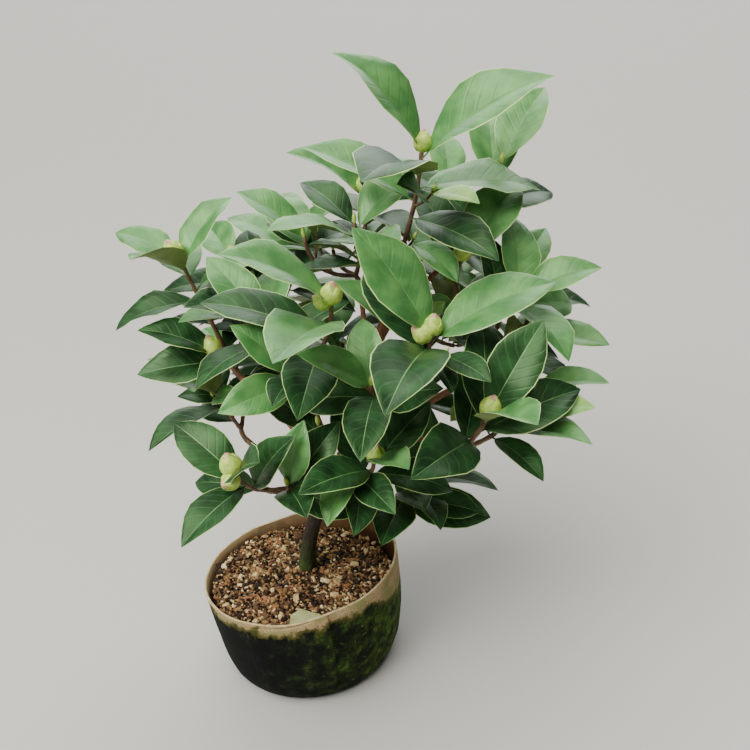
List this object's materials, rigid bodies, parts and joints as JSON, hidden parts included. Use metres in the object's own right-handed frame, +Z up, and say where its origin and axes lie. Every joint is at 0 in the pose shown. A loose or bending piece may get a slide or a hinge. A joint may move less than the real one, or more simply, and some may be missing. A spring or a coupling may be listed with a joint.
{
  "type": "potted camellia shrub",
  "caption": "Young camellia shrub with glossy leaves in whorls and fat flower buds, standing in a soft round nursery bag of coarse bark soil.",
  "frame": {"origin": "on the flat underside of the bag, at ground level, under the middle of the bag's rim", "axes": "+Z up along the trunk, -Y towards the side that is looked at most, +X to that side's right, where the crown leans"},
  "size_m": [0.4688, 0.4155, 0.6051],
  "materials": {
    "bag": "matt cloth, tan at the rim and dark green with moss below",
    "soil": "coarse loose bark and fibre",
    "bark": "dull bark, mossy at the foot",
    "foliage": "glossy dark green above, dull yellow-green below"
  },
  "bodies": {
    "root": {"pot": "bag", "soil": "soil", "trunk": "bark", "bough_leader": "bark", "bough_centre": "bark", "bough_left": "bark", "bough_centre_right": "bark", "bough_right": "bark", "bough_back_left": "bark", "bough_back_right": "bark", "bough_front_left": "bark", "bough_low_front": "bark", "bough_low_right": "bark", "bough_low_back": "bark", "bough_low_left": "bark", "bough_upper_right": "bark", "bough_top_right": "bark", "bough_back": "bark", "bough_front_right": "bark", "spray_top": "foliage", "spray_top_right": "foliage", "spray_upper_right": "foliage", "spray_centre": "foliage", "spray_centre_right": "foliage", "spray_left": "foliage", "spray_right": "foliage", "spray_front_right": "foliage", "spray_front_left": "foliage", "spray_low_front": "foliage", "spray_low_right": "foliage", "spray_back_left": "foliage", "spray_back": "foliage", "spray_back_right": "foliage", "spray_low_back": "foliage", "spray_low_left": "foliage"}
  },
  "joints": []
}
